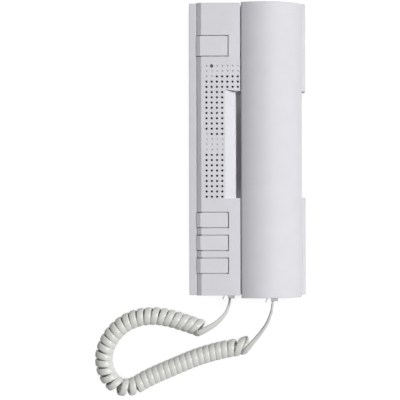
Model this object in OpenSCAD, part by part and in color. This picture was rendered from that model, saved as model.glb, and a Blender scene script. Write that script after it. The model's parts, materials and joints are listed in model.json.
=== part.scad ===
// Wall intercom station with a handset that lifts out of its seats and a curly cord.
// Millimetres. The station lies on its back: +X right, +Y up the wall, +Z away from the wall.
// The origin is the middle of the wall base's back face.

/* [Wall base] */
// Length of the wall base
base_l = 224; // [222:1:236]
// Thickness of the moulded walls
wall = 2.4; // [2:0.1:2.6]
// Thickness of the back plate
back_t = 2.4; // [2:0.1:3]
// Width of the low strip on the left
strip_w = 5.55; // [5:0.05:8]
// Height of the low strip
strip_z = 27.4; // [26:0.2:28]
// Width of the lip on the right
lip_w = 3.1; // [2.6:0.1:4]
// Height of the lip above the seats
lip_rise = 4; // [3:0.5:6]
// Fall of the lip's top towards the outside
lip_fall = 2; // [1:0.1:2.4]
// Height of the two handset seats
seat_z = 17; // [16.5:0.5:18]
// Height of the finger channel's floor
channel_z = 12; // [11:0.5:13]
// Length of the lower handset seat
low_seat_l = 74.5; // [72:0.5:76]
// Length of the upper handset seat
high_seat_l = 67.5; // [66:0.5:69]
// How far the right notch is cut in under the handset
notch_in = 1; // [0.5:0.5:4]
// Distance of a wall screw hole from the end of the base
wall_hole_in = 12; // [10:0.5:14]
// Diameter of a wall screw hole
wall_hole_d = 4.5; // [4:0.1:5.5]
// Width of the cable entry in the back plate
cable_w = 16; // [12:1:18]
// Length of the cable entry in the back plate
cable_l = 11; // [8:1:12]

/* [Front cover] */
// Width of the front cover, from the strip to the handset
panel_w = 33.5; // [33.1:0.05:36]
// Height of the front panel
panel_z = 34; // [33.6:0.2:36]
// Sideways run of the steep left edge
slope_run = 1; // [0.2:0.1:1.4]
// Width of the bevel along the left edge of the panel
edge_run = 3; // [2:0.1:4]
// Lean of the bevel along the left edge of the panel, in degrees
edge_angle = 34; // [25:1:40]
// Width of the finger recess
recess_w = 11.6; // [11.2:0.1:12.4]
// Sideways run of the finger ramp
ramp_run = 8.6; // [8:0.1:9.2]
// Drop of the finger ramp
ramp_drop = 7; // [6:0.5:9]
// Rounding at the foot of the finger ramp
ramp_foot_r = 5; // [1:0.5:6]
// How far each end of the recess runs in towards the ramp's foot
recess_slant = 0.9; // [0.4:0.1:1.2]
// Pitch of the perforations
hole_pitch = 4; // [3.8:0.1:4.1]
// Diameter of a perforation
hole_d = 1.7; // [1.2:0.1:1.9]
// Diameter of a blind dimple
dimple_d = 1.2; // [0.8:0.1:1.4]
// Depth of a blind dimple
dimple_depth = 0.8; // [0.4:0.1:1.2]
// Distance of the first column of perforations from the strip
grid_x = 7.75; // [7.4:0.05:8.4]
// Distance of the first row of perforations from the upper end
grid_in = 48.4; // [47.6:0.1:49]

/* [Buttons] */
// Distance of the door button's middle from the upper end
door_in = 33; // [32:0.5:34]
// Length of the door button along the panel
door_l = 15.2; // [13:0.1:16]
// Distance of the first lower button's middle from the lower end
aux_in = 57.8; // [57:0.2:58.4]
// Pitch of the three lower buttons
aux_pitch = 17.5; // [16.5:0.1:18]
// Length of a lower button along the panel
aux_l = 11.2; // [10:0.1:12]
// Width of the bevel along the left edge of the buttons
button_edge_run = 2.8; // [2:0.1:3]
// Lean of the bevel along the left edge of the buttons, in degrees
button_edge_angle = 31; // [22:1:34]
// Width of the button openings, from the strip
button_w = 24.65; // [23:0.05:25]
// Gap round a button
button_gap = 0.6; // [0.4:0.05:0.7]
// Thickness of a button's walls
button_t = 1.8; // [1.4:0.1:2]
// How far a button stands above the panel
button_proud = 0.2; // [0:0.1:0.6]
// How far a button's end stands out past the steep edge
button_side = 0.6; // [0.4:0.1:0.9]
// Travel of a button
press = 1; // [0.6:0.1:1.2]

/* [Circuit board] */
// Height of the board's underside
board_z = 8; // [7.5:0.1:8.4]
// Thickness of the board
board_t = 1.6; // [1.2:0.1:1.6]
// Width of the board
board_w = 27; // [26:0.5:27.5]
// Distance of the board from the upper end of the base
board_high_in = 20; // [19:0.5:20.5]
// Distance of the board from the lower end of the base
board_low_in = 19; // [18:0.5:20]
// Width of a key switch
switch_w = 6; // [5:0.1:7]
// Height of a key switch's body
switch_h = 4; // [3.4:0.1:4.4]
// Diameter of a key switch's stem
stem_d = 3.4; // [2.6:0.1:4]
// How far a stem stands out of its switch
stem_rise = 4; // [3:0.1:5]

/* [Handset] */
// Length of the handset
hand_l = 223.6; // [222:0.2:228]
// Width of the handset
hand_w = 47; // [45:0.25:48]
// Height of the handset's crown above the wall
hand_top = 58; // [57:0.5:60]
// Radius of the handset's dome
dome_r = 30; // [29:0.5:32]
// Rounding where the dome meets the left side
dome_edge_r = 1.5; // [1:0.5:7]
// Lean of the handset's left side, in degrees
side_lean = 1.5; // [0:0.5:3]
// Height of the seam between the handset's shells
seam_z = 30; // [29.6:0.2:30.4]
// Gap between the handset and the walls on both sides of its seat
seat_gap = 0.35; // [0.3:0.05:1]
// How far the handset sits below the middle of the base
hand_drop = 1.2; // [0:0.2:2]
// Rounding of the grip's inner corners
grip_r = 6; // [3:0.5:7]
// Diameter of the ear capsule
receiver_d = 32; // [28:1:34]
// Height of the ear capsule
receiver_h = 8.6; // [7:0.2:9]
// Distance of the ear capsule's middle from the upper end of the handset
receiver_in = 32.5; // [31.5:0.5:36]
// Diameter of the microphone capsule
mic_d = 9.7; // [8:0.1:11]
// Distance of the microphone's middle from the lower end of the handset
mic_in = 29; // [28:0.5:32]

/* [Hook] */
// Diameter of the hook plunger
plunger_d = 6; // [5:0.5:7]
// Travel of the hook plunger
plunger_travel = 3; // [2:0.5:3.5]
// Mean diameter of the hook spring
spring_d = 8; // [7.6:0.1:8.6]
// Wire diameter of the hook spring
spring_wire = 0.8; // [0.6:0.1:0.8]
// Curls of the hook spring
spring_curls = 4; // [3:1:4]

/* [Plugs and cord] */
// Thickness of a plug
plug_t = 5.4; // [5:0.1:5.6]
// Width of a plug
plug_w = 7.6; // [7:0.1:8]
// Length of a plug inside its socket
plug_in = 9; // [8:0.5:10]
// Length of a plug outside its socket
plug_out = 3; // [2.5:0.5:4]
// Height of the line socket
line_jack_z = 15; // [14:0.5:16]
// Height of the handset's socket
hand_jack_z = 38; // [37.5:0.5:39]
// Width of the flat cord
cord_w = 4.5; // [3.6:0.1:4.5]
// Thickness of the flat cord
cord_t = 2.4; // [2:0.1:2.6]
// Outside diameter of the curls
coil_d = 14; // [12.5:0.1:14]
// Number of curls
curls = 42; // [30:1:42]

/* [Hidden] */
$fn = 48;

// A cut reaches this far past the face that it opens
past = 1;
// Clearance of screws in their holes, on the radius
screw_play = 0.1;
// Clearance between a sliding stem and its bore, on the radius
slide_play = 0.08;
// Clearance round a plug in its socket
plug_play = 0.2;
// Clearance between inner pieces that only lie near each other
near = 0.3;

// Places across the width
base_w = strip_w + panel_w + hand_w + 2 * seat_gap + lip_w;
x_left = -base_w / 2;
x_right = base_w / 2;
x_step = x_left + strip_w;
x_panel = x_step + panel_w;
x_skirt = x_panel - wall;
x_hand0 = x_panel + seat_gap;
x_hand1 = x_hand0 + hand_w;
x_lip = x_hand1 + seat_gap;
x_notch = x_hand1 - notch_in;
x_recess = x_panel - recess_w;
x_drop = x_recess + ramp_run;
drop_t = 2;
hand_x = (x_hand0 + x_hand1) / 2;

// Places along the length and the height
base_y = base_l / 2;
channel_y0 = low_seat_l - base_y;
channel_y1 = base_y - high_seat_l;
door_y = base_y - door_in;
aux_y = aux_in - base_y;
grid_y = base_y - grid_in;
hand_y0 = -hand_l / 2 - hand_drop;
hand_y1 = hand_l / 2 - hand_drop;
panel_under = panel_z - wall;
board_top = board_z + board_t;
lip_z = seat_z + lip_rise;
ramp_z = panel_z - ramp_drop;

// Steep left edge: its lean, and its place at a height
slope_angle = atan2(panel_z - strip_z, slope_run);
slope_wall = wall / sin(slope_angle);
function slope_x(z) = x_step + slope_run * (z - strip_z) / (panel_z - strip_z);
// Width of the bevel on the cover's inner face, and where that face is flat
edge_turns = tan((slope_angle - edge_angle) / 2) + tan(edge_angle / 2);
inner_run = edge_run - wall * edge_turns * cos(edge_angle);
flat_x = slope_x(panel_under - inner_run * tan(edge_angle)) + slope_wall + inner_run;

// Wall screw holes and cable entry
wall_hole_side = 3.65;
wall_hole_x = x_step + wall_hole_side;
wall_hole_y = base_y - wall_hole_in;
cable_side = 19.25;
cable_edge = 2.6;
cable_x = x_step + cable_side;
cable_y = base_y - wall - cable_edge - cable_l / 2;

// Board, its posts and screws
board_side = 1.6;
board_x0 = x_left + wall + board_side;
board_x1 = board_x0 + board_w;
board_y0 = board_low_in - base_y;
board_y1 = base_y - board_high_in;
post_d = 6;
screw_d = 2.5;
screw_head_d = 5;
screw_head_t = 1.6;
slot_w = 0.8;
slot_depth = 0.6;
post_side = 4;
post_low = 6;
post_high = 34;
post_xs = [board_x0 + post_side, board_x1 - post_side];
post_ys = [board_y0 + post_low, board_y1 - post_high];
post_places = [for (x = post_xs, y = post_ys) [x, y]];

// Buttons and key switches
button_x1 = x_step + button_w;
key_side = 12.65;
key_x = x_step + key_side;
aux_places = [for (i = [0:2]) aux_y - i * aux_pitch];
key_places = concat([door_y], aux_places);
switch_top = board_top + switch_h;
stem_top = switch_top + stem_rise;
boss_wall = 1;
switch_floor = 0.8;
button_top = panel_z + button_proud;
button_foot = strip_z + press + button_gap;
rim_t = 1.2;
rim_reach = 1;
rim_gap = 0.3;

// Perforation grid: the lamp takes one place of the first row
grid_x0 = x_step + grid_x;
lamp_column = 1;
lamp_d = 2.4;
lamp_x = grid_x0 + lamp_column * hole_pitch;
hole_edge = 1;
narrow_columns = floor((x_recess - hole_edge - grid_x0) / hole_pitch) + 1;
wide_columns = floor((x_panel - hole_edge - grid_x0) / hole_pitch) + 1;
wide_rows = floor((grid_y - channel_y1 - hole_edge) / hole_pitch) + 1;
rows = floor((grid_y - channel_y0) / hole_pitch) + 1;
function is_hole(c, r) = (r == 2 && c > 1) || (r > 2 && r < 13) || (r == 13 && c > 0) || r > 16;
function is_dimple(c, r) = (r == 0 && c != lamp_column) || r == 1 || (!is_hole(c, r) && r > 1);
function columns(r) = r < wide_rows ? wide_columns : narrow_columns;

// Acoustic cloth behind the perforations
cloth_t = 0.4;
cloth_edge = 1;
cloth_x0 = grid_x0 - hole_d / 2 - cloth_edge;
cloth_x1 = grid_x0 + (narrow_columns - 1) * hole_pitch + hole_d / 2 + cloth_edge;
cloth_y0 = grid_y - (rows - 1) * hole_pitch - hole_d / 2 - cloth_edge;
cloth_y1 = grid_y - 2 * hole_pitch + hole_d / 2 + cloth_edge;
wide_x1 = grid_x0 + (wide_columns - 1) * hole_pitch + hole_d / 2;
wide_y0 = channel_y1 + wall;
pocket_h = 2;

// Call speaker
speaker_x = grid_x0 + 1.5 * hole_pitch - slide_play;
speaker_y = grid_y - 8 * hole_pitch;
speaker_w = 15;
speaker_l = 36;
speaker_t = 3;
magnet_w = 10;
magnet_l = 16;
magnet_t = 4.6;
gasket_t = 2;
gasket_z = panel_under - cloth_t;
gasket_w = 1.8;

// Sockets and plugs
jack_depth = 14;
jack_h = 11.2;
jack_latch = 8.4;
jack_back = 0.9;
latch_w = 3.2;
latch_out = 6.9;
latch_past = 3.8;
latch_t = 0.9;
latch_tip = 0.6;
jack_side = 0.6;
line_jack_x = x_skirt - jack_side - jack_back - plug_play - plug_t / 2;
hand_jack_side = 1.8;
hand_jack_x = hand_x + hand_jack_side;
cord_shift = 1;

// Cover screws, one at each end
tab_w = 8;
tab_l = 6;
tab_side = 12.25;
tab_drop = 11;
tab_x = x_step + tab_side;
tab_z = strip_z - tab_drop;
cover_screw_up = 4;
cover_screw_z = tab_z + cover_screw_up;
cover_screw_l = 6.5;

// Hook switch under the upper seat
hook_x = hand_x;
hook_in = 27;
hook_y = base_y - hook_in;
plunger_top = seat_z - plug_play;
flange_t = 1.6;
flange_reach = 2.5;
flange_d = plunger_d + 2 * flange_reach;
flange_z = seat_z - wall - plunger_travel - near - flange_t;
arm_l = 13;
arm_w = 5;
hook_body_l = 12;
hook_body_w = 6.4;
hook_button_d = 2;
hook_button_in = 2;
hook_button_rise = 1;
hook_pin_d = 5;

// Inside of the handset
dome_x = x_hand1 - dome_r;
dome_z = hand_top - dome_r;
// An outline that lies inside by t keeps at least this rounding at the left edge
inner_edge_r = 0.5;
function edge_for(t) = max(dome_edge_r, t + inner_edge_r);
function edge_dx(t) = x_hand0 + edge_for(t) - dome_x;
function edge_z(t) = dome_z + sqrt(pow(dome_r - edge_for(t), 2) - pow(edge_dx(t), 2));
function edge_turn(t) = atan2(edge_z(t) - dome_z, edge_dx(t));
// The leaning side starts a little inside the rounded edge, so that the two cross
side_step = 0.03;
function side_r(t) = edge_for(t) - side_step - t;
function side_top(t) = edge_z(t) - side_r(t) * sin(side_lean);
function side_x(t, z) =
    x_hand0 + edge_for(t) - side_r(t) * cos(side_lean) + (side_top(t) - z) * tan(side_lean);
grip_gap = 1;
grip_z = seam_z - wall;
back_floor = seat_z + wall;
back_edge_r = 2;
receiver_y = hand_y1 - receiver_in;
receiver_seal_t = 1;
receiver_seal_w = 2.5;
receiver_step = 0.6;
mic_y = hand_y0 + mic_in;
mic_h = 5;
boot_t = 1.4;
ear_dish_d = 34;
ear_dish_depth = 0.7;
ear_hole_d = 2;
ear_ring_r = 6;
mic_hole_d = 1.6;
mic_hole_pitch = 4;
hand_screw_high = 9;
hand_screw_low = 15;
hand_screw_places = [hand_y1 - hand_screw_high, channel_y0 - hand_screw_low];
hand_boss_d = 8;
hand_screw_l = 14;
hand_head_depth = 4;
hand_head_z = seam_z - hand_head_depth;
ballast_w = 14;
ballast_l = 60;
ballast_h = 8;

// Curls and leads of the cord, as points chosen along the way that the cord lies
coil_lift = 0.1;
coil_z = coil_d / 2 + coil_lift;
coil_r = (coil_d - cord_t) / 2;
coil_axis = [
    [-36.2, -138.9], [-48.4, -134.5], [-61.4, -130.7], [-73.4, -129.2], [-85.4, -130.6], [-96.4, -135.7],
    [-105.6, -144.7], [-111, -155.8], [-111.4, -167.4], [-107.4, -177.3], [-99.7, -183.8], [-89.6, -183.8],
    [-77.7, -177.6], [-66.4, -172.4], [-54.4, -167.4], [-42.4, -162.4], [-30.4, -158.4], [-18.4, -155.4],
    [-9.2, -153.7], [-3.8, -152.5]
];
base_lead_points = [
    [-35.4, -140.8, 14.4], [-30, -137.9, 15], [-24.4, -134.4, 15], [-19.7, -129.9, 15], [-16.3, -125.4, 15],
    [-14.4, -120, 15]
];
hand_lead_points = [
    [-0.2, -154.4, 13.4], [3.5, -149.7, 16.2], [7.7, -144.5, 19], [11.4, -139.3, 22.4], [14.9, -133.3, 27.2],
    [17.2, -126.4, 33], [18.2, -121, 36.8]
];
// The curls lie more openly on the first stretches and on the last two. The first ones tilt, and the last
// one leans toward the handset on the side that faces it
start_open = [0.85, 0.88, 0.9, 0.92];
end_open = [0.85, 0.95];
base_lean = 1.8;
base_lean_curls = 7;
hand_lean = 10;
hand_lean_curls = 2.4;
hand_lean_phase = 10;
// The last curl runs on straight by this much before its lead starts
hand_run = 1.5;
coil_start_phase = -20;
coil_turned = 360 * (curls - 1) + 230;
rings_per_curl = 8;
band_points = [[1, 0], [0.55, 1], [-0.55, 1], [-1, 0], [-0.55, -1], [0.55, -1]];
lead_sides = 8;

// A box between pairs of limits
module span(x, y, z) {
    translate([x[0], y[0], z[0]]) cube([x[1] - x[0], y[1] - y[0], z[1] - z[0]]);
}

// An X-Z outline drawn out along Y
module along_y(y0, y1) {
    translate([0, y1, 0]) rotate([90, 0, 0]) linear_extrude(y1 - y0) children();
}

// A Y-Z outline drawn out along X
module along_x(x0, x1) {
    translate([x0, 0, 0]) rotate([90, 0, 90]) linear_extrude(x1 - x0) children();
}

// A round bar along Z
module post(x, y, z0, z1, d) {
    translate([x, y, z0]) cylinder(d = d, h = z1 - z0);
}

// Outline of a bevelled left edge and a flat top, moved sideways by dx
module panel_outline(dx, z0, z1, x1, run, angle) {
    foot = z1 - run * tan(angle);
    foot_x = slope_x(foot) + dx;
    polygon([[slope_x(z0) + dx, z0], [foot_x, foot], [foot_x + run, z1], [x1, z1], [x1, z0]]);
}

// A screw along Z with its head on top
module screw(length, d, head_d, head_t) {
    translate([0, 0, -length]) cylinder(d = d, h = length);
    difference() {
        cylinder(d = head_d, h = head_t);
        translate([-head_d, -slot_w / 2, head_t - slot_depth]) cube([2 * head_d, slot_w, head_t]);
    }
}

// Space that a plug and its latch take in a socket, along +Y from the mouth
module plug_space(depth, play) {
    span([-plug_t / 2 - play, plug_t / 2 + play], [-past, depth], [-plug_w / 2 - play, plug_w / 2 + play]);
    span([-latch_out - 2 * play, 0], [-past, depth], [-latch_w / 2 - play, latch_w / 2 + play]);
}

module jack_body() {
    difference() {
        span([-jack_latch, plug_t / 2 + plug_play + jack_back], [0, jack_depth], [-jack_h / 2, jack_h / 2]);
        plug_space(plug_in + plug_play - wall, plug_play);
    }
}

module plug_body() {
    span([-plug_t / 2, plug_t / 2], [-plug_out, plug_in], [-plug_w / 2, plug_w / 2]);
    translate([0, 0, -latch_w / 2]) linear_extrude(latch_w) polygon([
        [-plug_t / 2, plug_in - latch_tip], [-latch_out, -latch_past], [-latch_out + latch_t, -latch_past],
        [-plug_t / 2, plug_in - latch_tip - 3 * latch_t]
    ]);
}

// Space of the finger recess above the ramp and beside the drop, with the ramp's foot rounded
module recess_space() {
    ramp_angle = atan2(ramp_drop, ramp_run);
    cut = ramp_foot_r * tan(45 - ramp_angle / 2);
    above = [x_drop - cut * cos(ramp_angle), ramp_z + cut * sin(ramp_angle)];
    below = [x_drop, ramp_z - cut];
    intersection() {
        along_y(-base_y, base_y) difference() {
            polygon([
                [x_recess, panel_z], above, below, [x_drop, 0], [x_panel + past, 0],
                [x_panel + past, panel_z + past], [x_recess, panel_z + past]
            ]);
            intersection() {
                translate(below - [ramp_foot_r, 0]) circle(ramp_foot_r);
                polygon([above, below, [x_drop + past, ramp_z - cut], [x_drop + past, ramp_z + cut]]);
            }
        }
        linear_extrude(panel_z + 2 * past) polygon([
            [x_recess, channel_y0 - recess_slant], [x_drop, channel_y0], [x_panel + 2 * past, channel_y0],
            [x_panel + 2 * past, channel_y1], [x_drop, channel_y1], [x_recess, channel_y1 + recess_slant]
        ]);
    }
}

module wall_base() {
    color([0.78, 0.78, 0.8]) difference() {
        union() {
            // Back plate, left wall with its strip, right wall with its lip
            span([x_left, x_right], [-base_y, base_y], [0, back_t]);
            span([x_left, x_left + wall], [-base_y, base_y], [0, strip_z]);
            span([x_left, x_step], [-base_y, base_y], [strip_z - wall, strip_z]);
            along_y(-base_y, base_y)
                polygon([[x_lip, 0], [x_right, 0], [x_right, lip_z - lip_fall], [x_lip, lip_z]]);
            // End walls, high beside the panel and low under the handset
            for (y = [-base_y, base_y - wall]) {
                span([x_left, x_panel], [y, y + wall], [0, strip_z]);
                span([x_left, x_right], [y, y + wall], [0, seat_z]);
            }
            // Seats at both ends and the walls that carry their inner edges
            for (y = [[-base_y, channel_y0], [channel_y1, base_y]])
                span([x_skirt, x_right], y, [seat_z - wall, seat_z]);
            for (y = [channel_y0 - wall, channel_y1])
                span([x_drop - drop_t, x_right], [y, y + wall], [0, seat_z]);
            // Finger channel
            span([x_drop - drop_t, x_notch], [channel_y0, channel_y1], [channel_z - wall, channel_z]);
            span([x_notch - wall, x_notch], [channel_y0, channel_y1], [0, channel_z]);
            // Posts of the board, pedestal of the socket and pin of the hook spring
            for (p = post_places) post(p[0], p[1], 0, board_z, post_d);
            span([line_jack_x - jack_latch, line_jack_x], [-base_y, jack_depth + wall - base_y],
                [0, line_jack_z - jack_h / 2]);
            post(hook_x, hook_y, 0, flange_z - plunger_travel / 2, hook_pin_d);
        }
        // Notch on the right
        span([x_notch, x_right + past], [channel_y0, channel_y1], [-past, lip_z + past]);
        // Wall screws and cable
        for (y = [-1, 1])
            post(wall_hole_x, y * wall_hole_y, -past, back_t + past, wall_hole_d);
        span([cable_x - cable_w / 2, cable_x + cable_w / 2], [cable_y - cable_l / 2, cable_y + cable_l / 2],
            [-past, back_t + past]);
        // Board screws
        for (p = post_places) post(p[0], p[1], back_t, board_z + past, screw_d + 2 * screw_play);
        // Mouth of the line socket
        translate([line_jack_x, -base_y, line_jack_z]) plug_space(wall + past, plug_play);
        // Cover screws with their heads sunk flush
        for (side = [-1, 1]) translate([tab_x, side * base_y, cover_screw_z]) rotate([-90 * side, 0, 0]) {
            translate([0, 0, -wall - past]) cylinder(d = screw_d + 4 * screw_play, h = wall + 2 * past);
            translate([0, 0, -screw_head_t])
                cylinder(d = screw_head_d + 2 * screw_play, h = screw_head_t + past);
        }
        // Hook plunger
        post(hook_x, hook_y, seat_z - wall - past, seat_z + past, plunger_d + 2 * slide_play);
    }
}

module button_opening(y, length) {
    span([x_left, button_x1], [y - length / 2 - button_gap, y + length / 2 + button_gap],
        [strip_z - past, button_top + past]);
}

module front_cover() {
    color([0.82, 0.82, 0.85]) difference() {
        union() {
            difference() {
                along_y(-base_y, base_y) panel_outline(0, strip_z, panel_z, x_panel, edge_run, edge_angle);
                along_y(wall - base_y, base_y - wall)
                    panel_outline(slope_wall, strip_z - past, panel_under, x_skirt, inner_run, edge_angle);
            }
            // Skirt beside the handset
            span([x_skirt, x_panel], [wall - base_y, base_y - wall], [seat_z, panel_under]);
            // Ramp, its drop and the walls at the recess's ends
            along_y(channel_y0 - wall, channel_y1 + wall) polygon([
                [x_recess - wall, panel_z], [x_drop - drop_t, ramp_z - wall / 2], [x_drop - drop_t, seat_z],
                [x_panel, seat_z], [x_panel, panel_z]
            ]);
            span([x_drop - drop_t, x_drop], [channel_y0, channel_y1], [channel_z, seat_z]);
            // Tabs for the cover screws
            for (y = [wall - base_y, base_y - wall - tab_l])
                span([tab_x - tab_w / 2, tab_x + tab_w / 2], [y, y + tab_l],
                    [tab_z, panel_under + wall / 2]);
        }
        recess_space();
        // Pocket in the skirt behind the last column of perforations
        span([x_skirt - past, wide_x1 + slide_play], [wide_y0, cloth_y1 + slide_play],
            [panel_under - pocket_h, panel_under]);
        // Perforations, dimples and the lamp's hole
        for (r = [0:rows - 1], c = [0:columns(r) - 1]) {
            x = grid_x0 + c * hole_pitch;
            y = grid_y - r * hole_pitch;
            if (is_hole(c, r)) post(x, y, panel_under - past, panel_z + past, hole_d);
            if (is_dimple(c, r)) post(x, y, panel_z - dimple_depth, panel_z + past, dimple_d);
        }
        post(lamp_x, grid_y, panel_under - past, panel_z + past, lamp_d + 2 * slide_play);
        // Button openings
        button_opening(door_y, door_l);
        for (y = aux_places) button_opening(y, aux_l);
        // Threads of the cover screws
        for (side = [-1, 1])
            translate([tab_x, side * (base_y - wall), cover_screw_z]) rotate([90 * side, 0, 0])
                translate([0, 0, -past]) cylinder(d = screw_d + 2 * screw_play, h = cover_screw_l + past);
    }
}

module button(y, length) {
    y0 = y - length / 2;
    y1 = y + length / 2;
    rim_z = panel_under - rim_gap - rim_t;
    inner_side = button_t - button_side;
    inner_foot = button_foot - past;
    inner_top = button_top - button_t;
    inner_x1 = button_x1 - button_gap - button_t;
    difference() {
        along_y(y0, y1)
            panel_outline(-button_side, button_foot, button_top, button_x1 - button_gap,
                button_edge_run, button_edge_angle);
        along_y(y0 + button_t, y1 - button_t) polygon([
            [slope_x(inner_foot) + inner_side, inner_foot], [slope_x(inner_top) + inner_side, inner_top],
            [inner_x1, inner_top], [inner_x1, inner_foot]
        ]);
    }
    // Rim that keeps the button under the panel
    span([flat_x, button_x1 + rim_reach],
        [y0 - button_gap - rim_reach, y1 + button_gap + rim_reach], [rim_z, rim_z + rim_t]);
    post(key_x, y, stem_top, button_top - button_t / 2, stem_d + 2 * boss_wall);
}

module door_button() { color([0.84, 0.84, 0.87]) button(door_y, door_l); }
module aux_button_1() { color([0.84, 0.84, 0.87]) button(aux_places[0], aux_l); }
module aux_button_2() { color([0.84, 0.84, 0.87]) button(aux_places[1], aux_l); }
module aux_button_3() { color([0.84, 0.84, 0.87]) button(aux_places[2], aux_l); }

module switch_stem(y) {
    post(key_x, y, board_top + switch_floor + press + near, stem_top, stem_d);
}

module switch_stem_door() { color([0.15, 0.15, 0.15]) switch_stem(door_y); }
module switch_stem_1() { color([0.15, 0.15, 0.15]) switch_stem(aux_places[0]); }
module switch_stem_2() { color([0.15, 0.15, 0.15]) switch_stem(aux_places[1]); }
module switch_stem_3() { color([0.15, 0.15, 0.15]) switch_stem(aux_places[2]); }

module tact_switches() {
    color([0.3, 0.3, 0.32]) for (y = key_places) difference() {
        span([key_x - switch_w / 2, key_x + switch_w / 2], [y - switch_w / 2, y + switch_w / 2],
            [board_top, switch_top]);
        post(key_x, y, board_top + switch_floor, switch_top + past, stem_d + 2 * slide_play);
    }
}

module main_board() {
    color([0.1, 0.4, 0.2]) difference() {
        span([board_x0, board_x1], [board_y0, board_y1], [board_z, board_top]);
        for (p = post_places) post(p[0], p[1], board_z - past, board_top + past, screw_d + 4 * screw_play);
    }
}

module board_screws() {
    color([0.7, 0.7, 0.72]) for (p = post_places)
        translate([p[0], p[1], board_top])
            screw(board_top - back_t - near, screw_d, screw_head_d, screw_head_t);
}

// Terminals of the riser cable at the board's upper end
terminal_l = 22;
terminal_w = 7.6;
terminal_h = 10;
terminal_pitch = 5;
terminal_edge = 0.4;
terminal_y = board_y1 - terminal_w / 2 - terminal_edge;
terminal_screw_d = 3.2;
terminal_floor = 5;
terminal_sunk = 1.4;
wire_hole_d = 2.6;
wire_hole_z = 3;
terminal_places = [for (i = [-1.5:1:1.5]) key_x + i * terminal_pitch];

module terminal_block() {
    color([0.15, 0.45, 0.25]) difference() {
        span([key_x - terminal_l / 2, key_x + terminal_l / 2],
            [terminal_y - terminal_w / 2, terminal_y + terminal_w / 2],
            [board_top, board_top + terminal_h]);
        for (x = terminal_places) {
            post(x, terminal_y, board_top + terminal_floor, board_top + terminal_h + past,
                terminal_screw_d + 2 * screw_play);
            translate([x, terminal_y, board_top + wire_hole_z]) rotate([-90, 0, 0])
                cylinder(d = wire_hole_d, h = terminal_w);
        }
    }
}

module terminal_screws() {
    top = board_top + terminal_h - terminal_sunk;
    color([0.75, 0.75, 0.75]) for (x = terminal_places) difference() {
        post(x, terminal_y, board_top + terminal_floor, top, terminal_screw_d);
        translate([x - terminal_screw_d, terminal_y - slot_w / 2, top - slot_depth])
            cube([2 * terminal_screw_d, slot_w, 2 * slot_depth]);
    }
}

capacitor_d = 8;
capacitor_h = 11;
capacitor_y = -20;
capacitor_rim = 0.6;

module board_capacitor() {
    color([0.12, 0.14, 0.25]) {
        post(key_x, capacitor_y, board_top, board_top + capacitor_h - capacitor_rim, capacitor_d);
        post(key_x, capacitor_y, board_top, board_top + capacitor_h, capacitor_d - 2 * capacitor_rim);
    }
}

led_d = 3;
led_h = 5;
led_rim = 0.4;
led_rim_t = 1;

module status_led() {
    color([0.8, 0.2, 0.2]) {
        post(lamp_x, grid_y, board_top, board_top + led_rim_t, led_d + 2 * led_rim);
        post(lamp_x, grid_y, board_top, board_top + led_h - led_d / 2, led_d);
        translate([lamp_x, grid_y, board_top + led_h - led_d / 2]) sphere(d = led_d);
    }
}

pipe_rim = 1;

module light_pipe() {
    color([0.2, 0.2, 0.22]) {
        post(lamp_x, grid_y, board_top + led_h + near, panel_z, lamp_d);
        post(lamp_x, grid_y, panel_under - pipe_rim, panel_under, lamp_d + 2 * pipe_rim);
    }
}

module grille_cloth() {
    z = [gasket_z, panel_under];
    color([0.08, 0.08, 0.08]) {
        span([cloth_x0, cloth_x1], [cloth_y0, cloth_y1], z);
        span([cloth_x0, wide_x1], [wide_y0, cloth_y1], z);
    }
}

module speaker_gasket() {
    color([0.12, 0.12, 0.12]) difference() {
        span([speaker_x - speaker_w / 2, speaker_x + speaker_w / 2],
            [speaker_y - speaker_l / 2, speaker_y + speaker_l / 2], [gasket_z - gasket_t, gasket_z]);
        span([speaker_x - speaker_w / 2 + gasket_w, speaker_x + speaker_w / 2 - gasket_w],
            [speaker_y - speaker_l / 2 + gasket_w, speaker_y + speaker_l / 2 - gasket_w],
            [gasket_z - gasket_t - past, gasket_z + past]);
    }
}

module call_speaker() {
    top = gasket_z - gasket_t;
    color([0.25, 0.25, 0.27]) {
        span([speaker_x - speaker_w / 2, speaker_x + speaker_w / 2],
            [speaker_y - speaker_l / 2, speaker_y + speaker_l / 2], [top - speaker_t, top]);
        span([speaker_x - magnet_w / 2, speaker_x + magnet_w / 2],
            [speaker_y - magnet_l / 2, speaker_y + magnet_l / 2],
            [top - speaker_t - magnet_t, top - speaker_t]);
    }
}

module line_jack() {
    color([0.2, 0.2, 0.2]) translate([line_jack_x, wall - base_y, line_jack_z]) jack_body();
}

module cover_screws() {
    color([0.7, 0.7, 0.72]) for (side = [-1, 1])
        translate([tab_x, side * (base_y - screw_head_t), cover_screw_z]) rotate([-90 * side, 0, 0])
            screw(cover_screw_l + wall - screw_head_t - near, screw_d, screw_head_d, screw_head_t);
}

module hook_switch() {
    x = hook_x + arm_l - hook_button_in;
    color([0.12, 0.12, 0.12]) {
        span([x - hook_button_in, x + hook_body_l - hook_button_in],
            [hook_y - hook_body_w / 2, hook_y + hook_body_w / 2], [back_t, flange_z - hook_button_rise]);
        post(x, hook_y, back_t, flange_z - near, hook_button_d);
    }
}

module hook_plunger() {
    color([0.8, 0.8, 0.82]) {
        post(hook_x, hook_y, flange_z, plunger_top, plunger_d);
        post(hook_x, hook_y, flange_z, flange_z + flange_t, flange_d);
        span([hook_x, hook_x + arm_l], [hook_y - arm_w / 2, hook_y + arm_w / 2],
            [flange_z, flange_z + flange_t]);
    }
}

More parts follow.
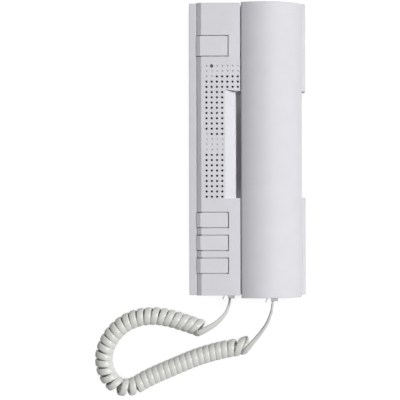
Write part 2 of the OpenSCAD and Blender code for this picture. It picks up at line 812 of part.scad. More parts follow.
// Outline of the handset's dome above the seam, drawn in by a wall
module dome_outline(t, z0) {
    far = 2 * dome_r;
    intersection() {
        translate([dome_x, dome_z]) circle(dome_r - t, $fn = 128);
        polygon([
            [dome_x, dome_z], [dome_x + far, dome_z], [dome_x + far, dome_z + far],
            [dome_x + far * cos(edge_turn(t)), dome_z + far * sin(edge_turn(t))]
        ]);
        translate([x_hand0, z0]) square([hand_w, far]);
    }
    translate([x_hand0 + edge_for(t), edge_z(t)]) circle(edge_for(t) - t);
    polygon([
        [side_x(t, z0), z0], [side_x(t, side_top(t)), side_top(t)], [x_hand0 + edge_for(t), edge_z(t)],
        [dome_x, edge_z(t)], [dome_x, z0]
    ]);
}

module handset_front() {
    shelf_z = hand_jack_z - jack_h / 2;
    color([0.88, 0.88, 0.9]) difference() {
        union() {
            difference() {
                along_y(hand_y0, hand_y1) dome_outline(0, seam_z);
                along_y(hand_y0 + wall, hand_y1 - wall) dome_outline(wall, seam_z - past);
            }
            // Bosses of the handset screws and shelf of the socket
            intersection() {
                along_y(hand_y0, hand_y1) dome_outline(wall / 2, seam_z);
                for (y = hand_screw_places) post(hand_x, y, seam_z, hand_top, hand_boss_d);
            }
            span([hand_jack_x - jack_latch, hand_jack_x + plug_t / 2],
                [hand_y0, hand_y0 + wall + jack_depth], [seam_z, shelf_z]);
        }
        for (y = hand_screw_places)
            post(hand_x, y, seam_z - past, hand_head_z + hand_screw_l + near, screw_d + 2 * screw_play);
        translate([hand_jack_x, hand_y0, hand_jack_z]) plug_space(wall + past, plug_play);
    }
}

// Finger space under the grip, grown by a wall
module grip_space(t) {
    y0 = channel_y0 - grip_gap - t;
    y1 = channel_y1 + grip_gap + t;
    top = grip_z + t;
    r = grip_r + t;
    along_x(x_hand0 - past, x_hand1 + past) {
        translate([y0, -past]) square([y1 - y0, top - r + past]);
        translate([y0 + r, 0]) square([y1 - y0 - 2 * r, top]);
        for (y = [y0 + r, y1 - r]) translate([y, top - r]) circle(r);
    }
}

// Cross-section of the handset below the seam, drawn in by a wall and up to a height
module back_outline(t, top) {
    r = back_edge_r;
    low = seat_z + t + r;
    x0 = side_x(t, low);
    polygon([
        [x0, low], [x0 + r, low - r], [x_hand1 - t - r, low - r], [x_hand1 - t, low], [x_hand1 - t, top],
        [side_x(t, top), top]
    ]);
    for (x = [x0 + r, x_hand1 - t - r]) translate([x, low]) circle(r);
}

module handset_back() {
    color([0.86, 0.86, 0.88]) difference() {
        union() {
            difference() {
                along_y(hand_y0, hand_y1) back_outline(0, seam_z);
                difference() {
                    along_y(hand_y0 + wall, hand_y1 - wall) back_outline(wall, seam_z + past);
                    grip_space(wall);
                }
                grip_space(0);
            }
            for (y = hand_screw_places) post(hand_x, y, seat_z, seam_z, hand_boss_d);
        }
        // Screw holes with deep heads
        for (y = hand_screw_places) {
            post(hand_x, y, seat_z - past, seam_z + past, screw_d + 4 * screw_play);
            post(hand_x, y, seat_z - past, hand_head_z, screw_head_d + 4 * screw_play);
        }
        // Ear dish with its ring of holes, and the mouth's holes
        post(hand_x, receiver_y, seat_z - past, seat_z + ear_dish_depth, ear_dish_d);
        post(hand_x, receiver_y, seat_z - past, back_floor + past, ear_hole_d);
        for (a = [0:60:300], k = [1, 2])
            post(hand_x + k * ear_ring_r * cos(a), receiver_y + k * ear_ring_r * sin(a), seat_z - past,
                back_floor + past, ear_hole_d);
        for (k = [-1:1])
            post(hand_x + k * mic_hole_pitch, mic_y, seat_z - past, back_floor + past, mic_hole_d);
    }
}

module receiver_gasket() {
    color([0.15, 0.15, 0.15]) translate([hand_x, receiver_y, back_floor]) difference() {
        cylinder(d = receiver_d, h = receiver_seal_t);
        translate([0, 0, -past])
            cylinder(d = receiver_d - 2 * receiver_seal_w, h = receiver_seal_t + 2 * past);
    }
}

module receiver_capsule() {
    z = back_floor + receiver_seal_t;
    color([0.3, 0.3, 0.32]) {
        post(hand_x, receiver_y, z, z + receiver_h * receiver_step, receiver_d);
        post(hand_x, receiver_y, z, z + receiver_h, receiver_d * receiver_step);
    }
}

module microphone_boot() {
    color([0.1, 0.1, 0.1]) translate([hand_x, mic_y, back_floor]) difference() {
        cylinder(d = mic_d + 2 * boot_t, h = mic_h + boot_t);
        translate([0, 0, boot_t]) cylinder(d = mic_d, h = mic_h + past);
        translate([0, 0, -past]) cylinder(d = mic_d / 2, h = boot_t + 2 * past);
    }
}

module microphone_capsule() {
    color([0.7, 0.7, 0.7]) post(hand_x, mic_y, back_floor + boot_t, back_floor + boot_t + mic_h, mic_d);
}

module ballast_weight() {
    mid = (channel_y0 + channel_y1) / 2;
    color([0.45, 0.45, 0.47]) span([hand_x - ballast_w / 2, hand_x + ballast_w / 2],
        [mid - ballast_l / 2, mid + ballast_l / 2], [seam_z, seam_z + ballast_h]);
}

module handset_jack() {
    color([0.2, 0.2, 0.2]) translate([hand_jack_x, hand_y0 + wall, hand_jack_z]) jack_body();
}

module handset_screws() {
    color([0.7, 0.7, 0.72]) for (y = hand_screw_places)
        translate([hand_x, y, hand_head_z]) mirror([0, 0, 1])
            screw(hand_screw_l, screw_d, screw_head_d, screw_head_t);
}

module base_plug() {
    color([0.85, 0.85, 0.82]) translate([line_jack_x, -base_y, line_jack_z]) plug_body();
}

module handset_plug() {
    color([0.85, 0.85, 0.82]) translate([hand_jack_x, hand_y0, hand_jack_z]) plug_body();
}

// A closed tube through rings of points, in triangles
module tube(rings) {
    sides = len(rings[0]);
    last = len(rings) - 1;
    polyhedron(
        points = [for (ring = rings, p = ring) p],
        faces = concat(
            [for (j = [1:sides - 2]) [0, j, j + 1]],
            [for (j = [1:sides - 2]) [last * sides, last * sides + j + 1, last * sides + j]],
            [for (i = [0:last - 1], j = [0:sides - 1])
                [i * sides + j, (i + 1) * sides + j, i * sides + (j + 1) % sides]],
            [for (i = [0:last - 1], j = [0:sides - 1])
                [i * sides + (j + 1) % sides, (i + 1) * sides + j, (i + 1) * sides + (j + 1) % sides]]
        )
    );
}

function unit(v) = v / norm(v);
function square_to(v, along) = unit(v - (v * along) * along);

// A ring of the flat band: across is the direction of its width, out that of its thickness
function band_ring(centre, across, out) =
    [for (q = band_points) centre + across * (q[0] * cord_w / 2) + out * (q[1] * cord_t / 2)];

// A smooth line through points: part u of the stretch after point i
function curve(p, i, u) =
    let (n = len(p) - 1, a = p[max(i - 1, 0)], b = p[i], c = p[min(i + 1, n)], d = p[min(i + 2, n)])
    0.5 * (2 * b + (c - a) * u + (2 * a - 5 * b + 4 * c - d) * u * u + (3 * b - a - 3 * c + d) * u * u * u);

// The curls' axis: points, headings, and the turn that each short step takes of the whole
axis_steps = 12;
look_step = 0.04;
look_turn = 3;
axis_last = (len(coil_axis) - 1) * axis_steps;
function axis_at(t) = let (i = max(0, min(floor(t), len(coil_axis) - 2))) curve(coil_axis, i, t - i);
function heading(t) = unit(axis_at(t + look_step) - axis_at(t - look_step));
axis_bend = [for (k = [0:axis_last - 1])
    let (a = heading(k / axis_steps), b = heading((k + 1) / axis_steps)) abs(a[0] * b[1] - a[1] * b[0])];
function openness(k) =
    let (from_start = floor(k / axis_steps), from_end = floor((axis_last - 1 - k) / axis_steps))
    from_start < len(start_open) ? start_open[from_start]
        : from_end < len(end_open) ? end_open[from_end] : 1;
axis_share = [for (k = [0:axis_last - 1])
    openness(k) * (norm(axis_at((k + 1) / axis_steps) - axis_at(k / axis_steps)) - coil_r * axis_bend[k])];
axis_sum = [for (k = 0, s = 0; k <= axis_last; s = s + (k < axis_last ? axis_share[k] : 0), k = k + 1) s];
axis_table = [for (k = [0:axis_last])
    [coil_start_phase + coil_turned * axis_sum[k] / axis_sum[axis_last], k / axis_steps]];

// How far the band leans along the axis at a phase
function coil_lean(phase) =
    let (
        base_fade = max(0, 1 - (phase - coil_start_phase) / 360 / base_lean_curls),
        hand_fade = max(0, 1 - (coil_end_phase - phase) / 360 / hand_lean_curls)
    ) base_lean * base_fade * cos(phase)
        + hand_lean * hand_fade * hand_fade * (1 + cos(phase - hand_lean_phase)) / 2;

// The curls wind left-handed: place, outward direction and heading of the band at a phase
function coil_side(phase) =
    let (h = heading(lookup(phase, axis_table))) [-h[1] * cos(phase), h[0] * cos(phase), -sin(phase)];
function coil_at(phase) =
    let (t = lookup(phase, axis_table), c = axis_at(t) + heading(t) * coil_lean(phase))
    [c[0], c[1], coil_z] + coil_r * coil_side(phase);
function coil_heading(phase) =
    square_to(unit(coil_at(phase + look_turn) - coil_at(phase - look_turn)), coil_side(phase));
function coil_ring(phase, run) =
    let (h = coil_heading(phase), out = coil_side(phase))
    band_ring(coil_at(phase) + h * run, cross(h, out), out);

coil_end_phase = coil_start_phase + coil_turned;
coil_ring_count = ceil(coil_turned / 360 * rings_per_curl);
coil_rings = concat(
    [coil_ring(coil_start_phase, -cord_w)],
    [for (k = [0:coil_ring_count]) coil_ring(coil_start_phase + coil_turned * k / coil_ring_count, 0)],
    [coil_ring(coil_end_phase, hand_run)]
);

// Least distance between rings of one tube that lie more than half a curl apart
function least_gap(rings, apart, reach) =
    min([for (i = [0:len(rings) - 1 - apart], j = [i + apart:len(rings) - 1])
        if (norm(rings[i][0] - rings[j][0]) < reach)
            min([for (p = rings[i], q = rings[j]) norm(p - q)])]);

module cord_coil() {
    echo(cord_gap = least_gap(coil_rings, 5, 3 * cord_w));
    color([0.82, 0.82, 0.8]) tube(coil_rings);
}

// A lead from the curls to a plug, turning from flat on the curl to upright in the plug
function lead_ring(p, h, across) =
    let (w = square_to(across, h), out = cross(h, w))
    [for (j = [0:lead_sides - 1])
        let (a = 360 * j / lead_sides) p + w * (cos(a) * cord_w / 2) + out * (sin(a) * cord_t / 2)];
function lead_rings(start, start_heading, start_across, points, end, end_heading) =
    let (p = concat([start], points, [end]), n = len(p) - 1)
    [for (i = [0:n])
        let (
            h = i == 0 ? start_heading : i == n ? end_heading : unit(p[i + 1] - p[i - 1]),
            turn = i / n
        ) lead_ring(p[i], h, start_across * (1 - turn) - [0, 0, 1] * turn)];

plug_face = [line_jack_x - cord_shift, -base_y - plug_out, line_jack_z];
hand_plug_face = [hand_jack_x - cord_shift, hand_y0 - plug_out, hand_jack_z];

module cord_base_lead() {
    h = -coil_heading(coil_start_phase);
    start = coil_at(coil_start_phase) + h * cord_w;
    across = cross(coil_side(coil_start_phase), h);
    color([0.82, 0.82, 0.8])
        tube(lead_rings(start, h, across[0] > 0 ? across : -across, base_lead_points, plug_face,
            [0, 1, 0]));
}

module cord_handset_lead() {
    h = coil_heading(coil_end_phase);
    start = coil_at(coil_end_phase) + h * hand_run;
    across = cross(coil_side(coil_end_phase), h);
    color([0.82, 0.82, 0.8])
        tube(lead_rings(start, h, across[0] > 0 ? across : -across, hand_lead_points, hand_plug_face,
            [0, 1, 0]));
}

// The hook spring winds between the back plate and the plunger's flange
spring_low = back_t + spring_wire / 2;
spring_high = flange_z - spring_wire / 2;
spring_ring_count = spring_curls * rings_per_curl;
spring_sides = 6;
function spring_at(k) = let (a = 360 * k / rings_per_curl, u = k / spring_ring_count)
    [hook_x + spring_d / 2 * cos(a), hook_y + spring_d / 2 * sin(a),
        spring_low + (spring_high - spring_low) * u];
function spring_ring(k) =
    let (a = 360 * k / rings_per_curl, out = [cos(a), sin(a), 0], p = spring_at(k))
    [for (j = [0:spring_sides - 1])
        let (b = 360 * j / spring_sides)
        p + out * (cos(b) * spring_wire / 2) + [0, 0, sin(b) * spring_wire / 2]];

module hook_spring() {
    rings = [for (k = [0:spring_ring_count]) spring_ring(k)];
    echo(spring_gap = least_gap(rings, 5, 3 * spring_wire));
    color([0.75, 0.75, 0.78]) tube(rings);
}

wall_base();
front_cover();
main_board();
board_screws();
tact_switches();
terminal_block();
terminal_screws();
board_capacitor();
status_led();
light_pipe();
grille_cloth();
call_speaker();
speaker_gasket();
line_jack();
cover_screws();
hook_switch();
hook_plunger();
hook_spring();
door_button();
aux_button_1();
aux_button_2();
aux_button_3();
switch_stem_door();
switch_stem_1();
switch_stem_2();
switch_stem_3();
handset_front();
handset_back();
receiver_capsule();
receiver_gasket();
microphone_capsule();
microphone_boot();
ballast_weight();
handset_jack();
handset_screws();
base_plug();
handset_plug();
cord_base_lead();
cord_coil();
cord_handset_lead();
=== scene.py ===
"""Looks of the wall intercom station: camera, cord, materials, floor and lights."""
import json
import math

import bpy
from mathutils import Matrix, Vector


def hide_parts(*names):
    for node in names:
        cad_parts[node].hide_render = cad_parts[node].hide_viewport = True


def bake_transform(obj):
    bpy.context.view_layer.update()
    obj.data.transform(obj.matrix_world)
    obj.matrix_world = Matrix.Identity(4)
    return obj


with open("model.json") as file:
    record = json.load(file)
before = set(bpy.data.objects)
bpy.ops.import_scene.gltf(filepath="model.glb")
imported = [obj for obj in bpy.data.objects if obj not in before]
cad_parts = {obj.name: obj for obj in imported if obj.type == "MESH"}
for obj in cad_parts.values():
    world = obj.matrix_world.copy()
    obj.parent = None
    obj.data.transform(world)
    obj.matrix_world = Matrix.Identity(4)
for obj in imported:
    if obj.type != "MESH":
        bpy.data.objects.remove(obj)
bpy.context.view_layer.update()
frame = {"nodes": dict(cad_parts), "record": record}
nodes = frame["nodes"]
scene = bpy.context.scene
MM = 0.001


# Camera: straight above the station, far enough away for the photograph's flat perspective
# Its place, lens and sensor are in millimetres, its roll in degrees and its far limit in metres
CAMERA_PLACE = (-36.7, -38.9, 1514)
CAMERA_ROLL = -0.13
LENS = 174.2
SENSOR_WIDTH = 36
CLIP_END = 20

camera_data = bpy.data.cameras.new("camera")
camera_data.lens = LENS
camera_data.sensor_width = SENSOR_WIDTH
camera_data.clip_end = CLIP_END
camera = bpy.data.objects.new("camera", camera_data)
camera.location = [c * MM for c in CAMERA_PLACE]
camera.rotation_euler = (0, 0, math.radians(CAMERA_ROLL))
scene.collection.objects.link(camera)
scene.camera = camera


# Cord: the points that part.scad lays it on, in millimetres
COIL_AXIS = [
    (-36.2, -138.9), (-48.4, -134.5), (-61.4, -130.7), (-73.4, -129.2), (-85.4, -130.6), (-96.4, -135.7),
    (-105.6, -144.7), (-111, -155.8), (-111.4, -167.4), (-107.4, -177.3), (-99.7, -183.8), (-89.6, -183.8),
    (-77.7, -177.6), (-66.4, -172.4), (-54.4, -167.4), (-42.4, -162.4), (-30.4, -158.4), (-18.4, -155.4),
    (-9.2, -153.7), (-3.8, -152.5),
]
BASE_LEAD = [
    (-35.4, -140.8, 14.4), (-30, -137.9, 15), (-24.4, -134.4, 15), (-19.7, -129.9, 15), (-16.3, -125.4, 15),
    (-14.4, -120, 15),
]
BASE_PLUG_FACE = (-13.675, -115, 15)
HAND_LEAD = [
    (-0.2, -154.4, 13.4), (3.5, -149.7, 16.2), (7.7, -144.5, 19), (11.4, -139.3, 22.4),
    (14.9, -133.3, 27.2), (17.2, -126.4, 33), (18.2, -121, 36.8),
]
HAND_PLUG_FACE = (18.775, -116, 38)
INTO_PLUG = (0, 1, 0)
UP = Vector((0, 0, 1))
# Width of the band as drawn and as a solid, and its thickness in the curls and at a plug
CORD_W = 5.3
SOLID_CORD_W = 4.5
CORD_T = 2.4
LEAD_T = 1.9
# Height of the curls' axis over the floor, and the radius of the band's middle round it
COIL_Z = 7.1
COIL_R = 5.8
# Share of the curls on the first stretches of the axis, and on the last ones, counted from the end
START_OPEN = (0.85, 0.88, 0.9, 0.92)
END_OPEN = (0.85, 0.95)
# How far the curls lean along the axis at each end, over how many curls that fades,
# and the phase that leans most at the handset's end
BASE_LEAN = 1.8
BASE_LEAN_CURLS = 7
HAND_LEAN = 10
HAND_LEAN_CURLS = 2.4
HAND_LEAN_PHASE = 10
# Phase of the first curl, and the turn from there to the end of the last curl, in degrees
COIL_START = -20
WHOLE_CURLS = 41
LAST_TURN = 230
COIL_TURNED = 360 * WHOLE_CURLS + LAST_TURN
# Straight run from the last curl to the handset's lead
HAND_RUN = 1.5
# Fineness of the drawn cord, and how square its rounded section is
AXIS_STEPS = 12
RINGS_PER_CURL = 20
SECTION_POINTS = 16
SECTION_POWER = 2.5
LEAD_STEPS = 5
# How far to each side a heading looks: along the axis, along a lead and in phase
AXIS_LOOK = 0.04
LEAD_LOOK = 0.05
PHASE_LOOK = 3


def curve_point(points, t):
    """A point on the smooth line through points, where a whole number t is one of them."""
    last = len(points) - 1
    i = max(0, min(int(math.floor(t)), last - 1))
    u = t - i
    a = points[max(i - 1, 0)]
    b = points[i]
    c = points[i + 1]
    d = points[min(i + 2, last)]
    square = (2 * a - 5 * b + 4 * c - d) * u ** 2
    cube = (3 * b - a - 3 * c + d) * u ** 3
    return 0.5 * (2 * b + (c - a) * u + square + cube)


axis_points = [Vector((x, y, COIL_Z)) for x, y in COIL_AXIS]


def axis_heading(t):
    ahead = curve_point(axis_points, t + AXIS_LOOK)
    behind = curve_point(axis_points, t - AXIS_LOOK)
    return (ahead - behind).normalized()


def openness(stretch):
    """Share of the curls on a stretch of the axis: fewer on the first and last stretches."""
    from_end = len(axis_points) - 2 - stretch
    if stretch < len(START_OPEN):
        return START_OPEN[stretch]
    return END_OPEN[from_end] if from_end < len(END_OPEN) else 1


def phase_table():
    """Phases of the curls at steps along their axis: the pitch opens in a bend and at the ends."""
    shares = [0]
    last = (len(axis_points) - 1) * AXIS_STEPS
    for k in range(last):
        t0 = k / AXIS_STEPS
        t1 = (k + 1) / AXIS_STEPS
        bend = axis_heading(t0).cross(axis_heading(t1)).length
        step = (curve_point(axis_points, t1) - curve_point(axis_points, t0)).length
        shares.append(shares[-1] + openness(k // AXIS_STEPS) * (step - COIL_R * bend))
    return [COIL_START + COIL_TURNED * s / shares[-1] for s in shares]


phases = phase_table()


def axis_place(phase):
    """Where the axis has a phase of the curls, counted in its points."""
    for k in range(len(phases) - 1):
        if phase <= phases[k + 1]:
            break
    part = (phase - phases[k]) / (phases[k + 1] - phases[k])
    return (k + max(0, min(1, part))) / AXIS_STEPS


def coil_lean(phase):
    """How far the band leans along the axis at a phase: first curls tilt, and last ones lean forward."""
    from_start = (phase - COIL_START) / 360
    to_end = COIL_TURNED / 360 - from_start
    base_fade = max(0, 1 - from_start / BASE_LEAN_CURLS)
    hand_fade = max(0, 1 - to_end / HAND_LEAN_CURLS)
    tilt = BASE_LEAN * base_fade * math.cos(math.radians(phase))
    return tilt + HAND_LEAN * hand_fade ** 2 * (1 + math.cos(math.radians(phase - HAND_LEAN_PHASE))) / 2


def coil_frame(phase):
    """Centre and outward direction of the band at a phase."""
    t = axis_place(phase)
    h = axis_heading(t)
    a = math.radians(phase)
    out = Vector((-h.y * math.cos(a), h.x * math.cos(a), -math.sin(a)))
    return curve_point(axis_points, t) + h * coil_lean(phase) + COIL_R * out, out


def coil_section(phase):
    """Centre, width direction, thickness direction and heading of the band at a phase."""
    centre, out = coil_frame(phase)
    h = coil_frame(phase + PHASE_LOOK)[0] - coil_frame(phase - PHASE_LOOK)[0]
    h = (h - h.dot(out) * out).normalized()
    return centre, h.cross(out), out, h


def lead_sections(start, start_across, points, end, end_heading):
    """Sections of a lead from the curls to a plug, turning from flat on the curl to upright in the plug.

    The band narrows to the solid's width on the way, because the curls are drawn wider to look closed."""
    line = [start] + [Vector(p) for p in points] + [Vector(end)]
    steps = (len(line) - 1) * LEAD_STEPS
    found = []
    for k in range(1, steps + 1):
        t = k / LEAD_STEPS
        u = k / steps
        h = curve_point(line, t + LEAD_LOOK) - curve_point(line, t - LEAD_LOOK)
        h = Vector(end_heading) if k == steps else h.normalized()
        across = start_across * (1 - u) - UP * u
        across = (across - across.dot(h) * h).normalized()
        width = CORD_W + (SOLID_CORD_W - CORD_W) * u
        thickness = CORD_T + (LEAD_T - CORD_T) * u
        found.append((curve_point(line, t), across, h.cross(across), width, thickness))
    return found


def same_way(across):
    """The width direction, turned to the right."""
    return across if across.x > 0 else -across


def cord_sections():
    """All sections from the base's plug to the handset's plug."""
    end_phase = COIL_START + COIL_TURNED
    count = round(COIL_TURNED / 360 * RINGS_PER_CURL)
    first = coil_section(COIL_START)
    last = coil_section(end_phase)
    base_start = first[0] - first[3] * SOLID_CORD_W
    hand_start = last[0] + last[3] * HAND_RUN
    base = lead_sections(base_start, same_way(-first[1]), BASE_LEAD, BASE_PLUG_FACE, INTO_PLUG)
    hand = lead_sections(hand_start, same_way(last[1]), HAND_LEAD, HAND_PLUG_FACE, INTO_PLUG)
    found = list(reversed(base))
    found.append((base_start, first[1], first[2], CORD_W, CORD_T))
    for k in range(count + 1):
        centre, across, out, _ = coil_section(COIL_START + COIL_TURNED * k / count)
        found.append((centre, across, out, CORD_W, CORD_T))
    found.append((hand_start, last[1], last[2], CORD_W, CORD_T))
    found.extend(hand)
    return found


def matched(sections):
    """Sections whose width and thickness keep the same sense from one to the next."""
    found = [sections[0]]
    for centre, across, out, *sizes in sections[1:]:
        if found[-1][1].dot(across) < 0:
            across = -across
        if found[-1][2].dot(out) < 0:
            out = -out
        found.append((centre, across, out, *sizes))
    return found


def mesh_object(name, verts, faces):
    mesh = bpy.data.meshes.new(name)
    mesh.from_pydata(verts, [], faces)
    mesh.update()
    obj = bpy.data.objects.new(name, mesh)
    scene.collection.objects.link(obj)
    return obj


def make_cord():
    """The cord's object, and the points along its middle."""
    sections = matched(cord_sections())
    verts = []
    for centre, across, out, width, thickness in sections:
        for j in range(SECTION_POINTS):
            a = 2 * math.pi * j / SECTION_POINTS
            c = math.copysign(abs(math.cos(a)) ** (2 / SECTION_POWER), math.cos(a))
            s = math.copysign(abs(math.sin(a)) ** (2 / SECTION_POWER), math.sin(a))
            verts.append((centre + across * (c * width / 2) + out * (s * thickness / 2)) * MM)
    n = SECTION_POINTS
    faces = [tuple(range(n))]
    faces.append(tuple(range(len(verts) - 1, len(verts) - n - 1, -1)))
    for i in range(len(sections) - 1):
        for j in range(n):
            k = (j + 1) % n
            faces.append((i * n + j, (i + 1) * n + j, (i + 1) * n + k, i * n + k))
    obj = mesh_object("cord", verts, faces)
    for p in obj.data.polygons:
        p.use_smooth = len(p.vertices) == 4
    return obj, [s[0] * MM for s in sections]


cord, cord_path = make_cord()
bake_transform(cord)
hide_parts("cord_base_lead", "cord_coil", "cord_handset_lead")


# Materials: colours are linear, and grain sizes are in millimetres
# The part of a noise texture's values that carries a change
NOISE_LOW = 0.3
NOISE_HIGH = 0.7
EDGE_SAMPLES = 6
PLASTIC_IOR = 1.49
# Change of roughness on moulded plastic, on metal and on clear plastic
MOULDED_CHANGE = 0.04
PLATED_CHANGE = 0.08
CLEAR_CHANGE = 0.08
# Tones of scratches on metal
SCRATCH_DARK = 0.9
SCRATCH_LIGHT = 1.08
# Clear plastic: the size and tone of its flow lines, the size and depth of its waves,
# and how much light goes through
FLOW_GRAIN = 2.5
FLOW_TONE = 0.94
WAVE_GRAIN = 0.8
WAVE_DEPTH = 0.01
CLEARNESS = 0.85


def new_material(name):
    material = bpy.data.materials.new(name)
    material.use_nodes = True
    tree = material.node_tree
    return material, tree, tree.nodes["Principled BSDF"]


def noise(tree, grain, detail=3):
    place = tree.nodes.new("ShaderNodeTexCoord")
    node = tree.nodes.new("ShaderNodeTexNoise")
    node.inputs["Scale"].default_value = 1 / (grain * MM)
    node.inputs["Detail"].default_value = detail
    tree.links.new(place.outputs["Object"], node.inputs["Vector"])
    return node.outputs["Fac"]


def ramp(tree, value, low, high):
    node = tree.nodes.new("ShaderNodeValToRGB")
    node.color_ramp.elements[0].position = NOISE_LOW
    node.color_ramp.elements[1].position = NOISE_HIGH
    node.color_ramp.elements[0].color = (*low, 1)
    node.color_ramp.elements[1].color = (*high, 1)
    tree.links.new(value, node.inputs["Fac"])
    return node.outputs["Color"]


def spread(tree, value, low, high):
    node = tree.nodes.new("ShaderNodeMapRange")
    node.inputs["From Min"].default_value = NOISE_LOW
    node.inputs["From Max"].default_value = NOISE_HIGH
    node.inputs["To Min"].default_value = low
    node.inputs["To Max"].default_value = high
    tree.links.new(value, node.inputs["Value"])
    return node.outputs["Result"]


def bump(tree, value, depth, under=None):
    node = tree.nodes.new("ShaderNodeBump")
    node.inputs["Distance"].default_value = depth * MM
    tree.links.new(value, node.inputs["Height"])
    if under:
        tree.links.new(under, node.inputs["Normal"])
    return node.outputs["Normal"]


def soft_edges(tree, radius):
    node = tree.nodes.new("ShaderNodeBevel")
    node.samples = EDGE_SAMPLES
    node.inputs["Radius"].default_value = radius * MM
    return node.outputs["Normal"]


def tint(colour, factor):
    return tuple(min(1, c * factor) for c in colour)


def moulded(name, colour, roughness, grain=0.35, depth=0.006, change=0.02, patch=14, edge=0.4, shine=0.5):
    """Moulded plastic: a fine spark texture, soft edges, and slow changes of tone and gloss."""
    material, tree, shader = new_material(name)
    slow = noise(tree, patch)
    tones = ramp(tree, slow, tint(colour, 1 - change), tint(colour, 1 + change))
    texture = bump(tree, noise(tree, grain, detail=4), depth, soft_edges(tree, edge))
    tree.links.new(tones, shader.inputs["Base Color"])
    gloss = spread(tree, slow, roughness - MOULDED_CHANGE, roughness + MOULDED_CHANGE)
    tree.links.new(gloss, shader.inputs["Roughness"])
    tree.links.new(texture, shader.inputs["Normal"])
    shader.inputs["IOR"].default_value = PLASTIC_IOR
    shader.inputs["Specular IOR Level"].default_value = shine
    return material


def plated(name, colour, roughness, grain=0.2, depth=0.004):
    """Drawn or plated metal with fine scratches."""
    material, tree, shader = new_material(name)
    fine = noise(tree, grain, detail=5)
    tones = ramp(tree, fine, tint(colour, SCRATCH_DARK), tint(colour, SCRATCH_LIGHT))
    tree.links.new(tones, shader.inputs["Base Color"])
    gloss = spread(tree, fine, roughness - PLATED_CHANGE, roughness + PLATED_CHANGE)
    tree.links.new(gloss, shader.inputs["Roughness"])
    tree.links.new(bump(tree, fine, depth), shader.inputs["Normal"])
    shader.inputs["Metallic"].default_value = 1
    return material


def clear(name, colour, roughness):
    """Clear moulded plastic with faint flow lines."""
    material, tree, shader = new_material(name)
    slow = noise(tree, FLOW_GRAIN)
    tree.links.new(ramp(tree, slow, tint(colour, FLOW_TONE), colour), shader.inputs["Base Color"])
    tree.links.new(spread(tree, slow, roughness, roughness + CLEAR_CHANGE), shader.inputs["Roughness"])
    tree.links.new(bump(tree, noise(tree, WAVE_GRAIN), WAVE_DEPTH), shader.inputs["Normal"])
    shader.inputs["Transmission Weight"].default_value = CLEARNESS
    shader.inputs["IOR"].default_value = PLASTIC_IOR
    return material


# Colour of the shells, and how much darker the base and lighter the buttons are
SHELL = (0.695, 0.688, 0.725)
BASE_TONE = 0.91
BUTTON_TONE = 1.01
MATERIALS = {
    "base_plastic": moulded("base_plastic", tint(SHELL, BASE_TONE), 0.6, edge=0.9, shine=0.25),
    "cover_plastic": moulded("cover_plastic", SHELL, 0.6, edge=0.5, shine=0.25),
    "button_plastic": moulded("button_plastic", tint(SHELL, BUTTON_TONE), 0.58, depth=0.004, shine=0.25),
    "handset_plastic": moulded("handset_plastic", SHELL, 0.58, depth=0.004, edge=1, shine=0.25),
    "board": moulded("board", (0.03, 0.16, 0.06), 0.35, grain=0.6, change=0.15, patch=3),
    "screw_steel": plated("screw_steel", (0.62, 0.61, 0.58), 0.34),
    "spring_steel": plated("spring_steel", (0.52, 0.52, 0.53), 0.28),
    "ballast_steel": plated("ballast_steel", (0.34, 0.34, 0.35), 0.5),
    "speaker_metal": moulded("speaker_metal", (0.035, 0.035, 0.04), 0.5, change=0.1),
    "black_plastic": moulded("black_plastic", (0.02, 0.02, 0.022), 0.38, change=0.1),
    "terminal_plastic": moulded("terminal_plastic", (0.03, 0.19, 0.07), 0.4, change=0.06),
    "capacitor_sleeve": moulded("capacitor_sleeve", (0.012, 0.02, 0.07), 0.25, depth=0.002, change=0.08),
    "led_resin": moulded("led_resin", (0.42, 0.03, 0.02), 0.2, depth=0.001, change=0.05),
    "lamp_lens": moulded("lamp_lens", (0.06, 0.06, 0.062), 0.3, depth=0.002, change=0.1, patch=1),
    "foam": moulded("foam", (0.02, 0.02, 0.02), 0.9, grain=0.5, depth=0.08, change=0.2, patch=1),
    # The plugs' clear plastic is tinted grey: this is painted shade, standing in for the darker look of
    # plugs that lie in shade
    "plug_plastic": clear("plug_plastic", (0.6, 0.6, 0.59), 0.06),
    "cord_jacket": moulded("cord_jacket", (0.69, 0.69, 0.665), 0.4, grain=0.5, depth=0.008, patch=9),
}


def dress(obj, slot):
    obj.data.materials.clear()
    obj.data.materials.append(MATERIALS[slot])


for part in frame["record"]["subparts"]:
    dress(nodes[part["node"]], part["material_slot"])
dress(cord, "cord_jacket")


def seen_white(tree):
    """One for camera, glossy and transmission rays, and nought for the rays that light the object."""
    rays = tree.nodes.new("ShaderNodeLightPath")
    value = rays.outputs["Is Camera Ray"]
    for name in ("Is Glossy Ray", "Is Transmission Ray"):
        either = tree.nodes.new("ShaderNodeMath")
        either.operation = "MAXIMUM"
        tree.links.new(value, either.inputs[0])
        tree.links.new(rays.outputs[name], either.inputs[1])
        value = either.outputs["Value"]
    return value


# Floor: white where the camera sees it, and it keeps the object's soft shadow
FLOOR_SIZE = 6
FLOOR_GREY = 0.5
FLOOR_GLOW = 0.64
half = FLOOR_SIZE / 2
corners = [(-half, -half, 0), (half, -half, 0), (half, half, 0), (-half, half, 0)]
floor = mesh_object("floor", corners, [(0, 1, 2, 3)])
floor_material, tree, shader = new_material("floor")
shader.inputs["Base Color"].default_value = (FLOOR_GREY, FLOOR_GREY, FLOOR_GREY, 1)
shader.inputs["Roughness"].default_value = 1
shader.inputs["Specular IOR Level"].default_value = 0
shader.inputs["Emission Color"].default_value = (1, 1, 1, 1)
glow = tree.nodes.new("ShaderNodeMath")
glow.operation = "MULTIPLY"
glow.inputs[1].default_value = FLOOR_GLOW
tree.links.new(seen_white(tree), glow.inputs[0])
tree.links.new(glow.outputs["Value"], shader.inputs["Emission Strength"])
floor.data.materials.append(floor_material)


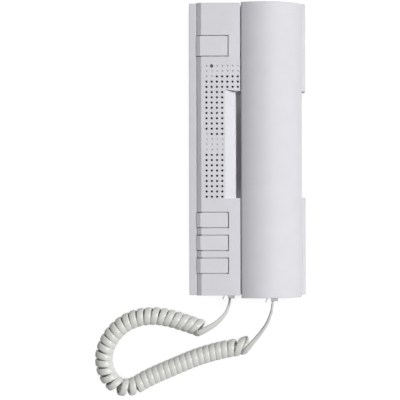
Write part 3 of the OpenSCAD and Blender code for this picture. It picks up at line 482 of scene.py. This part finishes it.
# World: white to the camera, in reflections and through clear plastic, and a low even light on the object
WORLD_LEVEL = 0.17
world = bpy.data.worlds.new("world")
scene.world = world
world.use_nodes = True
tree = world.node_tree
background = tree.nodes["Background"]
background.inputs["Color"].default_value = (1, 1, 1, 1)
level = tree.nodes.new("ShaderNodeMapRange")
level.inputs["To Min"].default_value = WORLD_LEVEL
level.inputs["To Max"].default_value = 1
tree.links.new(seen_white(tree), level.inputs["Value"])
tree.links.new(level.outputs["Result"], background.inputs["Strength"])


# Lamps: a broad key from the upper right, as in the photograph, in one lamp for each group that it lights
LAMP_PLACE = (0.6, 0, 1)
KEY_TILT = 36.2
KEY_TURN = 12
KEY_SPREAD = 12
KEY_LEVEL = 0.895
FLOOR_LEVEL = 0.85
FLOOR_SPREAD = 70
FILL_TILT = 65
FILL_SPREAD = 40
FILL_LEVEL = 0.01
# Light that finds its way past the handset into the finger channel
CHANNEL_LEVEL = 0.15


def lamp(name, level, tilt, turn, spread_angle):
    """A distant soft lamp that gives a facing white surface the given level."""
    data = bpy.data.lights.new(name, "SUN")
    data.energy = level * math.pi
    data.angle = math.radians(spread_angle)
    obj = bpy.data.objects.new(name, data)
    obj.rotation_euler = (0, math.radians(tilt), math.radians(turn))
    obj.location = LAMP_PLACE
    scene.collection.objects.link(obj)
    return obj


def link_group(name, objects, state):
    """A collection for a lamp, with each object's link set to INCLUDE or EXCLUDE."""
    group = bpy.data.collections.new(name)
    for o in objects:
        group.objects.link(o)
    for entry in group.collection_objects:
        entry.light_linking.link_state = state
    return group


cover_group = [nodes[n] for n in nodes if n == "front_cover" or "button" in n or n == "light_pipe"]
base_group = [nodes["wall_base"]]

# The cover and its buttons, which the handset doesn't shade
cover_key = lamp("cover_key", KEY_LEVEL, KEY_TILT, KEY_TURN, KEY_SPREAD)
cover_key.light_linking.receiver_collection = link_group("cover_lit", cover_group, "INCLUDE")
cover_passed = [nodes["handset_front"]]
cover_key.light_linking.blocker_collection = link_group("cover_unshaded", cover_passed, "EXCLUDE")

# The base, which the cover doesn't shade
base_key = lamp("base_key", KEY_LEVEL - CHANNEL_LEVEL, KEY_TILT, KEY_TURN, KEY_SPREAD)
base_key.light_linking.receiver_collection = link_group("base_lit", base_group, "INCLUDE")
base_key.light_linking.blocker_collection = link_group("base_unshaded", cover_group, "EXCLUDE")

# The base again, with a low light that passes the cover and the handset
channel_key = lamp("channel_key", CHANNEL_LEVEL, KEY_TILT, KEY_TURN, KEY_SPREAD)
channel_key.light_linking.receiver_collection = link_group("channel_lit", base_group, "INCLUDE")
channel_passed = cover_group + [nodes["handset_front"], nodes["handset_back"]]
channel_key.light_linking.blocker_collection = link_group("channel_unshaded", channel_passed, "EXCLUDE")

# Everything that no other key lights
rest_key = lamp("rest_key", KEY_LEVEL, KEY_TILT, KEY_TURN, KEY_SPREAD)
lit_by_others = cover_group + base_group + [floor]
rest_key.light_linking.receiver_collection = link_group("rest_lit", lit_by_others, "EXCLUDE")

# The floor, from straight above
floor_key = lamp("floor_key", FLOOR_LEVEL, 0, 0, FLOOR_SPREAD)
floor_key.light_linking.receiver_collection = link_group("floor_lit", [floor], "INCLUDE")

# A weak light from the left on everything but the floor
left_fill = lamp("left_fill", FILL_LEVEL, -FILL_TILT, 0, FILL_SPREAD)
left_fill.light_linking.receiver_collection = link_group("fill_unlit", [floor], "EXCLUDE")

scene.view_settings.view_transform = "Standard"
